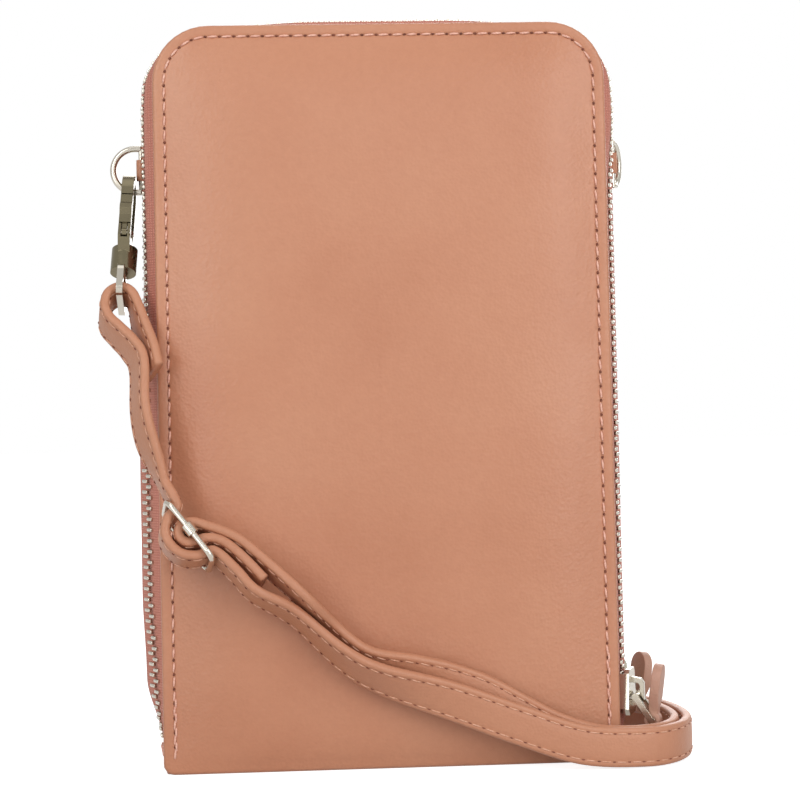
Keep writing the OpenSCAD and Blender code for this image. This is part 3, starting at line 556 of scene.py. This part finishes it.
POCKET_W, SLIP_W, SEAT_GAP = 90.0, 82.0, 0.3
CARD_Y = [MIDDLE_T / 2 + LINING_T * i for i in range(4)]
panel_back = wall_outline(0, TAPE_T + SEAT_GAP)
middle = wall_outline(1, BAND_T + SEAT_GAP)
linings = {
    "front_board": (panel_back, -SKIN_Y, -SKIN_Y + BOARD_T, "pouch", "board"),
    "front_lining": (panel_back, -LINING_Y - LINING_T, -LINING_Y, "pouch", "lining"),
    "rear_board": (panel_back, SKIN_Y - BOARD_T, SKIN_Y, "rear_cover", "board"),
    "rear_lining": (panel_back, LINING_Y, LINING_Y + LINING_T, "rear_cover", "lining"),
    "middle_board": (middle, -MIDDLE_T / 2, MIDDLE_T / 2, "pouch", "lining"),
    "phone_pocket": (pocket_outline(POCKET_W, 105, 3), -CARD_Y[1], -CARD_Y[0], "pouch", "lining"),
    "card_pocket_high": (pocket_outline(POCKET_W, 105, 0.5), CARD_Y[0], CARD_Y[1], "pouch", "lining"),
    "card_pocket_middle": (pocket_outline(POCKET_W, 87, 0.5), CARD_Y[1], CARD_Y[2], "pouch", "lining"),
    "card_pocket_low": (pocket_outline(POCKET_W, 69, 0.5), CARD_Y[2], CARD_Y[3], "pouch", "lining"),
    "rear_slip_pocket": (pocket_outline(SLIP_W, 87, 2), LINING_Y - LINING_T, LINING_Y, "rear_cover", "lining"),
}
lining_pieces = {}
for node, (outline, y0, y1, body, slot) in linings.items():
    lining_pieces[node] = lining_sheet(node + "_cloth", outline, y0, y1)
    stand_in(lining_pieces[node], node, body)


# Walls between the panels: zip tapes, and the leather band between the two zips
# A station is a place round the chain's outline: its length along it, its place and the way outwards there
Station = namedtuple("Station", "run x z ox oz")


def wall_stations():
    """The stations round the outline, finely spaced, from the lower left end to the lower right."""
    half = side_lengths(16, 60, 14)
    half += [SIDE_L + BEND_L + TOP_L * i / 40 for i in range(1, 20)]
    out = []
    for run in half + [TRACK / 2] + [TRACK - run for run in half[::-1]]:
        m = run if run <= TRACK / 2 else TRACK - run
        if m <= SIDE_L + BEND_L:
            x, z, ox, oz = side_place(m)
        else:
            x, z, ox, oz = -POUCH_W / 2 + CORNER_R + m - SIDE_L - BEND_L, POUCH_H, 0.0, 1.0
        out.append(Station(run, x, z, ox, oz) if run <= TRACK / 2 else Station(run, -x, z, -ox, oz))
    return out


STATIONS = wall_stations()


def at_wall(st, side, out, y=0.0):
    """(x, z) at a station, at the panel's edge (side 0) or the chain (side 1), moved outwards by out."""
    o = out - BULGE * (1 - side * swell_at(st.x, st.z))
    o += belly_at(st.x, st.z) * eased(abs(abs(y) - CHAIN_Y), 6.5, 3.5)
    return st.x + st.ox * o, st.z + st.oz * o


def wall_strip(name, line_at, thick, hand):
    """A strip round the wall through each station's (depth, side, rise) rows; hand -1 is the front."""
    rings, run = [], [0.0]
    for a, b in zip(line_at(STATIONS[0]), line_at(STATIONS[0])[1:]):
        run.append(run[-1] + math.hypot(b[0] - a[0], b[2] - a[2]))
    for st in STATIONS:
        line, share = line_at(st), swell_at(st.x, st.z)
        ring = []
        for y, side, rise, depth in [(*row, 0.0) for row in line] + [(*row, thick) for row in line[::-1]]:
            x, z = at_wall(st, side, rise * share - depth, y)
            ring.append((x, hand * y, z))
        rings.append(ring)
    across = (run + run[::-1])[::hand]
    return loft(name, facing(rings, hand), [(st.run * MM, v * MM) for st in STATIONS for v in across])


def chain_in_at(tilt):
    """How far the chain lies inside the outline, less where it is turned further to the front."""
    return CHAIN_IN - 2.3 * max(0.0, tilt - math.radians(RUN_TILT))


def tape_at(st, v, up=0.0):
    """A (depth, side, rise) row of the tape at a distance v across from the chain's middle."""
    tilt = tilt_at(st.x, st.z)
    return (CHAIN_Y + v * math.cos(tilt) + up * math.sin(tilt), 1,
            -chain_in_at(tilt) - v * math.sin(tilt) + up * math.cos(tilt))


def gap_at(st, run_gap):
    """Half the tapes' gap: open below the slider, just room for its divider on its run, closed beyond."""
    if st.x < 0:
        return CLOSED_GAP
    gap = OPEN_GAP - (OPEN_GAP - run_gap) * eased(st.z, 14, 20)
    return gap - (gap - CLOSED_GAP) * eased(st.z, RUN_END, RUN_END + 10)


def outer_tape_line(st):
    """The outer tape, from the panel's edge to the gap."""
    return [(SKIN_Y, 0, 0.0), (14.5, 0.32, -0.92), (13.6, 0.68, -1.95), tape_at(st, TAPE_FLAT, 0.0),
            tape_at(st, 4.2, 0.02), tape_at(st, 2.9, 0.03), tape_at(st, 1.9, 0.05),
            tape_at(st, gap_at(st, OUTER_RUN_GAP))]


def inner_tape_line(st):
    """The inner tape, from the gap to the band."""
    return [tape_at(st, -gap_at(st, INNER_RUN_GAP)), tape_at(st, -1.9, 0.05), tape_at(st, -2.9, 0.03),
            tape_at(st, -4.2, 0.02), tape_at(st, -TAPE_FLAT, -0.05), (2.85, 1, 0.3), (BAND_Y, 1, -0.02)]


def band_line(_):
    """The band's face, the same all the way round."""
    half = [(BAND_Y, 1, -0.35), (BAND_Y - 0.05, 1, -0.1), (BAND_Y - 0.35, 1, 0.0), (1.3, 1, 0.05)]
    return half + [(0, 1, 0.08)] + [(-y, side, rise) for y, side, rise in half[::-1]]


tapes = []
for side, hand, body in SIDES:
    for part, line in (("outer", outer_tape_line), ("inner", inner_tape_line)):
        node = f"{side}_zip_tape_{part}"
        tapes.append(wall_strip(node + "_weave", line, TAPE_T, hand))
        stand_in(tapes[-1], node, body if part == "outer" else "pouch")
middle_band = wall_strip("middle_band_leather", band_line, BAND_LEATHER_T, 1)
stand_in(middle_band, "middle_band", "pouch")


# Teeth: one metal tooth, pinched over the tape's edge, copied along each row
TOOTH_SIZE, TOOTH_ROUNDING = (1.0 * MM, 2.5 * MM, 0.9 * MM), 0.32 * MM
TOOTH_PITCH, TEETH_FROM, TOOTH_REACH, TOOTH_MESH, TOOTH_SEAT = 2.5, 8.0, 2.4, 0.25, 0.2
# The slider's place and length, how far it parts the rows, and where its channel begins and ends
SLIDER_Z, SLIDER_L, PART_W, NOSE_RUN, TAIL_RUN = 15.0, 10.5, 1.3, 1.6, 0.9


def one_tooth():
    """Points in millimetres and faces of a single tooth lying along Y, rounded all over."""
    bpy.ops.mesh.primitive_cube_add(size=1, location=(0, 0, 0))
    tooth = bpy.context.object
    tooth.scale = TOOTH_SIZE
    bpy.ops.object.transform_apply(location=True, rotation=True, scale=True)
    bevel = tooth.modifiers.new("rounded", "BEVEL")
    bevel.width = TOOTH_ROUNDING
    bevel.segments = 2
    bpy.ops.object.modifier_apply(modifier=bevel.name)
    points = [v.co.copy() / MM for v in tooth.data.vertices]
    faces = [tuple(p.vertices) for p in tooth.data.polygons]
    bpy.data.objects.remove(tooth)
    return points, faces


deselect()
tooth_points, tooth_faces = one_tooth()


def place_on_track(run):
    """The station at a length along the chain's outline."""
    for a, b in zip(STATIONS, STATIONS[1:]):
        if run <= b.run:
            t = (run - a.run) / (b.run - a.run)
            return Station(*(p + (q - p) * t for p, q in zip(a, b)))
    return STATIONS[-1]


def teeth_row(name, side_hand, row_hand):
    """One row, towards the panel (row_hand 1) or the band (-1)."""
    nose = SLIDER_Z - SLIDER_L / 2
    count = math.floor((TRACK - nose + 1 - TEETH_FROM) / TOOTH_PITCH)
    points, faces = [], []
    for i in range(count):
        run = TEETH_FROM + (i + (0 if row_hand > 0 else 0.5)) * TOOTH_PITCH
        st = place_on_track(run)
        along = (TRACK - run - nose - NOSE_RUN) / (SLIDER_L - NOSE_RUN - TAIL_RUN)
        parting = PART_W * (1 - min(1, max(0, along)))
        x, z = at_wall(st, 1, 0, CHAIN_Y)
        share, tilt = swell_at(st.x, st.z), tilt_at(st.x, st.z)
        turn = (Matrix.Rotation(-math.atan2(st.oz, st.ox), 4, "Y")
                @ Matrix.Translation((-chain_in_at(tilt) * share, 0, 0)) @ Matrix.Rotation(tilt * share, 4, "Z")
                @ Matrix.Translation((TOOTH_SEAT, row_hand * (parting + (TOOTH_REACH - TOOTH_MESH) / 2), 0)))
        base = len(points)
        for p in tooth_points:
            q = turn @ p
            points.append((x + q.x, side_hand * (CHAIN_Y + q.y), z + q.z))
        faces += [tuple(base + i for i in face)[::side_hand] for face in tooth_faces]
    return mesh_piece(name, points, faces)


teeth = []
for side, hand, body in SIDES:
    for part, row in (("outer", 1), ("inner", -1)):
        node = f"{side}_zip_teeth_{part}"
        teeth.append(teeth_row(node + "_metal", hand, row))
        select_only(teeth[-1])
        bpy.ops.object.shade_smooth_by_angle(angle=math.radians(35))
        stand_in(teeth[-1], node, body if part == "outer" else "pouch")
deselect()


# Base, tabs and gussets: the plain solids' own forms, their hard edges rounded over
def rounded_copy(name, node, width):
    """A copy of a node's solid with its doubles merged and its edges rounded over by a width."""
    source = frame["nodes"][node]
    piece = source.copy()
    piece.data = source.data.copy()
    piece.name = name
    bpy.context.scene.collection.objects.link(piece)
    piece.parent = None
    piece.matrix_world = Matrix.Identity(4)
    select_only(piece)
    bpy.ops.object.mode_set(mode="EDIT")
    bpy.ops.mesh.select_all(action="SELECT")
    bpy.ops.mesh.remove_doubles(threshold=0.00001)
    bpy.ops.mesh.dissolve_limited(angle_limit=math.radians(2))
    bpy.ops.object.mode_set(mode="OBJECT")
    bevel = piece.modifiers.new("bevel", "BEVEL")
    bevel.width = width * MM
    bevel.segments = 3
    bevel.limit_method = "ANGLE"
    bevel.angle_limit = math.radians(40)
    bpy.ops.object.modifier_apply(modifier=bevel.name)
    bpy.ops.object.shade_smooth_by_angle(angle=math.radians(50))
    return piece


hides = {}
for node, body, width, slot in (("base_leather", "pouch", 0.5, "leather"),
                                ("front_pull_tab", "front_tab", 0.45, "tab_leather"),
                                ("rear_pull_tab", "rear_tab", 0.45, "tab_leather"),
                                ("ring_tab_left", "pouch", 0.3, "tab_leather"),
                                ("ring_tab_right", "pouch", 0.3, "tab_leather")):
    hides[node] = rounded_copy(node + "_hide", node, width)
    stand_in(hides[node], node, body)
gussets = []
for node in ("gusset_left", "gusset_right"):
    gussets.append(rounded_copy(node + "_cloth", node, 0.15))
    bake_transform(gussets[-1])
    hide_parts(node)


# Materials
def linear(hex_colour):
    """An sRGB hex colour as linear RGBA."""
    parts = [int(hex_colour[i:i + 2], 16) / 255 for i in (1, 3, 5)]
    return tuple(c / 12.92 if c <= 0.04045 else ((c + 0.055) / 1.055) ** 2.4 for c in parts) + (1.0,)


def add(tree, kind, links=(), **settings):
    """A node with its settings, where links joins its inputs to other nodes' outputs."""
    node = tree.nodes.new(kind)
    for key, value in settings.items():
        if key.startswith("in_"):
            node.inputs[key[3:].replace("_", " ")].default_value = value
        else:
            setattr(node, key, value)
    for target, source in links:
        tree.links.new(source, node.inputs[target])
    return node


def new_material(name):
    material = bpy.data.materials.new(name)
    material.use_nodes = True
    tree = material.node_tree
    tree.nodes.clear()
    return material, tree


def colour_ramp(node, stops):
    ramp = node.color_ramp
    while len(ramp.elements) > 1:
        ramp.elements.remove(ramp.elements[-1])
    ramp.elements[0].position, ramp.elements[0].color = stops[0]
    for position, colour in stops[1:]:
        ramp.elements.new(position).color = colour


def finish_surface(tree, links, **settings):
    """The material's own shader, joined to its output."""
    shader = add(tree, "ShaderNodeBsdfPrincipled", links, **settings)
    add(tree, "ShaderNodeOutputMaterial", [("Surface", shader.outputs[0])])


def crossed_threads(tree, vector, thread_mm, directions, distortion):
    """The height of a weave with threads in two directions."""
    waves = [add(tree, "ShaderNodeTexWave", [("Vector", vector)], in_Scale=1000 / thread_mm / 20 * 3.14,
                 wave_type="BANDS", bands_direction=direction, in_Distortion=distortion)
             for direction in directions]
    return add(tree, "ShaderNodeMath", [(i, wave.outputs["Fac"]) for i, wave in enumerate(waves)],
               operation="MULTIPLY").outputs[0]


def toned_relief(tree, height, stops, strength, depth):
    """Colour and bump for a shader, both from one height."""
    tone = add(tree, "ShaderNodeValToRGB", [("Fac", height)])
    colour_ramp(tone, stops)
    bump = add(tree, "ShaderNodeBump", [("Height", height)], in_Strength=strength, in_Distance=depth * MM)
    return [("Base Color", tone.outputs["Color"]), ("Normal", bump.outputs["Normal"])]


def smooth_leather(name, pale, mid, dark, roughness, grain_mm):
    """Polished leather: a fine pebble grain with pores, soft creases and slow clouds of dye."""
    material, tree = new_material(name)
    place = add(tree, "ShaderNodeTexCoord").outputs["Object"]
    grain = add(tree, "ShaderNodeTexVoronoi", [("Vector", place)], in_Scale=1000 / grain_mm, feature="F1")
    pores = add(tree, "ShaderNodeTexNoise", [("Vector", place)], in_Scale=1000 / 1.6, in_Detail=4.0,
                in_Roughness=0.6)
    creases = add(tree, "ShaderNodeTexNoise", [("Vector", place)], in_Scale=1000 / 7.0, in_Detail=3.0,
                  in_Distortion=0.6)
    clouds = add(tree, "ShaderNodeTexNoise", [("Vector", place)], in_Scale=1000 / 38.0, in_Detail=2.0)
    dye = add(tree, "ShaderNodeValToRGB", [("Fac", clouds.outputs["Fac"])])
    colour_ramp(dye, [(0.3, linear(dark)), (0.5, linear(mid)), (0.72, linear(pale))])
    speck = add(tree, "ShaderNodeMix", [("Factor", pores.outputs["Fac"]), ("A", dye.outputs["Color"])],
                data_type="RGBA", blend_type="MULTIPLY")
    speck.inputs["B"].default_value = (0.9, 0.86, 0.84, 1)
    height = add(tree, "ShaderNodeMath", [(0, grain.outputs["Distance"]), (1, pores.outputs["Fac"])],
                 operation="ADD")
    small = add(tree, "ShaderNodeBump", [("Height", height.outputs[0])], in_Strength=0.6, in_Distance=0.1 * MM)
    soft = add(tree, "ShaderNodeBump",
               [("Height", creases.outputs["Fac"]), ("Normal", small.outputs["Normal"])],
               in_Strength=0.35, in_Distance=0.35 * MM)
    gloss = add(tree, "ShaderNodeMapRange", [("Value", creases.outputs["Fac"])],
                in_To_Min=roughness - 0.05, in_To_Max=roughness + 0.08)
    finish_surface(tree, [("Base Color", speck.outputs["Result"]), ("Normal", soft.outputs["Normal"]),
                          ("Roughness", gloss.outputs["Result"])], in_IOR=1.46)
    return material


def woven_tape(name, colour, shade, thread_mm):
    """Woven polyester tape: ribs along and across it, each thread rounded and slightly shiny."""
    material, tree = new_material(name)
    run = add(tree, "ShaderNodeUVMap", uv_map="run").outputs["UV"]
    weave = crossed_threads(tree, run, thread_mm, "XY", 0.4)
    links = toned_relief(tree, weave, [(0.0, linear(shade)), (0.7, linear(colour))], 0.7, 0.2)
    finish_surface(tree, links, in_Roughness=0.72, in_IOR=1.5, in_Sheen_Weight=0.05)
    return material


def plain_weave(name, colour, shade, thread_mm):
    """Plain woven cloth or pressed board, its threads crossing in both directions of the sheet."""
    material, tree = new_material(name)
    place = add(tree, "ShaderNodeTexCoord").outputs["Object"]
    weave = crossed_threads(tree, place, thread_mm, "XZ", 0.5)
    links = toned_relief(tree, weave, [(0.0, linear(shade)), (0.6, linear(colour))], 0.5, 0.15)
    finish_surface(tree, links, in_Roughness=0.85, in_IOR=1.5)
    return material


def plated_metal(name, colour, roughness, wear):
    """Nickel plate over die-cast zinc: bright, with faint polishing waves and rounded edges."""
    material, tree = new_material(name)
    place = add(tree, "ShaderNodeTexCoord").outputs["Object"]
    waves = add(tree, "ShaderNodeTexNoise", [("Vector", place)], in_Scale=1000 / 2.2, in_Detail=2.0)
    rub = add(tree, "ShaderNodeMapRange", [("Value", waves.outputs["Fac"])],
              in_To_Min=roughness - wear, in_To_Max=roughness + wear)
    rounded = add(tree, "ShaderNodeBevel", in_Radius=0.18 * MM, samples=4)
    bump = add(tree, "ShaderNodeBump",
               [("Height", waves.outputs["Fac"]), ("Normal", rounded.outputs["Normal"])],
               in_Strength=0.2, in_Distance=0.05 * MM)
    finish_surface(tree, [("Roughness", rub.outputs["Result"]), ("Normal", bump.outputs["Normal"])],
                   in_Metallic=1.0, in_Base_Color=linear(colour))
    return material


def twisted_thread(name, colour, shade):
    """Waxed polyester thread, its twist too fine to draw and kept as a soft mottling."""
    material, tree = new_material(name)
    place = add(tree, "ShaderNodeTexCoord").outputs["Object"]
    twist = add(tree, "ShaderNodeTexNoise", [("Vector", place)], in_Scale=1000 / 0.5, in_Detail=2.0)
    stops = [(0.3, linear(shade)), (0.6, linear(colour))]
    links = toned_relief(tree, twist.outputs["Fac"], stops, 0.4, 0.06)
    finish_surface(tree, links, in_Roughness=0.55, in_IOR=1.5)
    return material


# The pouch's body: warm, even peach with a soft sheen that shows the padding's swell
calf = smooth_leather("peach_calf_leather", "#ca9071", "#c78b6c", "#c28566", 0.36, 0.8)
# The strap: a touch deeper and duller than the body, with a finer grain, so that it stands out before it
strap_calf = smooth_leather("strap_calf_leather", "#c78d6e", "#c4896a", "#bf8465", 0.42, 0.6)
# The pull tabs: a paler, greyer and matt leather, its grey partly a painted sheen for the light their faces
# catch
tab_calf = smooth_leather("cut_tab_leather", "#c79c88", "#bd917e", "#b08371", 0.5, 0.5)
# The zips' tapes: a pinker, matt stripe beside the leather, its fine ribs just visible
tape_cloth = woven_tape("salmon_zip_tape", "#dc9582", "#c47b69", 0.3)
# Teeth, rings, swivels and the buckle: the brightest glints, warm white against dark
nickel = plated_metal("nickel_plate", "#cfc8bb", 0.16, 0.06)
# Sliders and links: the same plate, a little warmer and softer where it is handled
slider_nickel = plated_metal("warm_nickel_plate", "#cdc6b6", 0.2, 0.06)
# The clasps' hooks and gates: a darker and browner plate colour that paints in the dark surroundings this metal
# mirrors (painted dark reflections), so that they weigh on the pale strap
clasp_nickel_painted_dark = plated_metal("nickel_plate_painted_dark_reflections", "#7f765f", 0.24, 0.08)
# The panels' seam: the palest thing on the leather, a row of light dashes round its edge
seam_thread = twisted_thread("pale_seam_thread", "#eebfab", "#d79a86")
# The panels' needle holes: brown dots that part the dashes, the shade inside each hole painted onto a small
# dark piece
seam_hole_shade = twisted_thread("panel_needle_hole_painted_shade", "#7d4330", "#5f3022")
# The strap's own thread is finer and closer to the leather, and its holes show less; their dark dots are
# painted shade inside the holes
strap_thread = twisted_thread("strap_thread", "#e6b79c", "#cd9777")
strap_hole_shade = twisted_thread("strap_needle_hole_painted_shade", "#8e503a", "#703a28")
# The pads under the leather: a matt cream that is seen only when the leather is hidden
foam = plain_weave("foam_backing", "#d8d0c0", "#b9b09f", 1.2)
# The boards that stiffen the panels: plain greyish brown
pressed_board = plain_weave("pressed_board", "#8f7d69", "#6f5f4f", 1.0)
# Linings, pockets and gussets: dark brown twill that makes the open pouch look deep
lining_cloth = plain_weave("twill_lining", "#8d6457", "#5f3f36", 0.7)

calf_pieces = [*panels, middle_band, hides["base_leather"], hides["ring_tab_left"], hides["ring_tab_right"]]
tab_pieces = [hides["front_pull_tab"], hides["rear_pull_tab"]]
for material, pieces in ((calf, calf_pieces), (tab_calf, tab_pieces), (strap_calf, straps),
                         (strap_thread, strap_threads), (strap_hole_shade, strap_shaded_holes),
                         (seam_thread, panel_threads), (seam_hole_shade, panel_shaded_holes), (foam, foam_pads),
                         (tape_cloth, tapes), (nickel, teeth), (lining_cloth, gussets)):
    for piece in pieces:
        give(piece, material)
for node, piece in lining_pieces.items():
    give(piece, pressed_board if node in ("front_board", "rear_board") else lining_cloth)
finishes = {"nickel": nickel, "slider_metal": slider_nickel, "clasp_metal": clasp_nickel_painted_dark}
for row in frame["record"]["subparts"]:
    if row["material_slot"] in finishes:
        give(frame["nodes"][row["node"]], finishes[row["material_slot"]])
# The zips' stops are sewn, not metal
for node in ("front_zip_stop", "rear_zip_stop"):
    give(frame["nodes"][node], seam_thread)


# Floor and backdrop in one pale sweep, and soft studio light
# The paper's own grey and its glow, the sky's light, and how much of the glow mirrors show
PAPER, PAPER_GLOW, SKY, MIRRORED = 0.62, 0.84, 0.43, 0.5
LAMPS_AIM = Vector((0, 0, 0.085))


def seen_share(tree):
    """1 for what the camera sees, straight or through glass, and a half for what metal and leather mirror."""
    rays = add(tree, "ShaderNodeLightPath")
    mirrored = add(tree, "ShaderNodeMath",
                   [(0, rays.outputs["Is Glossy Ray"]), (2, rays.outputs["Is Camera Ray"])],
                   operation="MULTIPLY_ADD")
    mirrored.inputs[1].default_value = MIRRORED
    return add(tree, "ShaderNodeMath", [(0, mirrored.outputs[0]), (1, rays.outputs["Is Transmission Ray"])],
               operation="ADD").outputs[0]


bpy.ops.mesh.primitive_plane_add(size=6, location=(0, 0, 0))
floor = bpy.context.object
floor.name = "floor"
# White paper: an even, near white ground that takes only a soft shadow at the pouch's foot
floor_material, floor_tree = new_material("white_paper")
paper = add(floor_tree, "ShaderNodeBsdfDiffuse", in_Color=(PAPER, PAPER, PAPER, 1))
seen_white = add(floor_tree, "ShaderNodeMath", [(0, seen_share(floor_tree))], operation="MULTIPLY")
seen_white.inputs[1].default_value = PAPER_GLOW
white = add(floor_tree, "ShaderNodeEmission", [("Strength", seen_white.outputs[0])])
both_papers = add(floor_tree, "ShaderNodeAddShader", [(0, paper.outputs[0]), (1, white.outputs[0])])
add(floor_tree, "ShaderNodeOutputMaterial", [("Surface", both_papers.outputs[0])])
give(floor, floor_material)
world = bpy.data.worlds.new("studio")
bpy.context.scene.world = world
world.use_nodes = True
world_tree = world.node_tree
world_tree.nodes.clear()
sky = add(world_tree, "ShaderNodeBackground", in_Color=(1, 1, 1, 1), in_Strength=SKY)
seen = add(world_tree, "ShaderNodeBackground", in_Color=(1, 1, 1, 1), in_Strength=1.0)
mixed = add(world_tree, "ShaderNodeMixShader", [(0, seen_share(world_tree)), (1, sky.outputs[0]),
                                                (2, seen.outputs[0])])
add(world_tree, "ShaderNodeOutputWorld", [("Surface", mixed.outputs[0])])
for name, place, power, size in (("left_strip", (-0.46, -0.7, 0.4), 2.65, (0.28, 0.8)),
                                 ("right_strip", (0.46, -0.64, 0.3), 2.65, (0.22, 0.8)),
                                 ("front_fill", (0.14, -1.0, 0.38), 0.85, (0.5, 0.5)),
                                 ("top", (0.0, -0.1, 0.95), 0.7, (0.6, 0.6)),
                                 ("back", (0.2, 0.8, 0.45), 4.4, (0.7, 0.7))):
    lamp = bpy.data.objects.new(name, bpy.data.lights.new(name, "AREA"))
    bpy.context.scene.collection.objects.link(lamp)
    lamp.data.energy = power
    lamp.data.shape = "RECTANGLE"
    lamp.data.size, lamp.data.size_y = size
    lamp.location = place
    lamp.rotation_euler = (LAMPS_AIM - Vector(place)).to_track_quat("-Z", "Y").to_euler()
bpy.context.scene.view_settings.view_transform = "Standard"

bpy.context.view_layer.update()
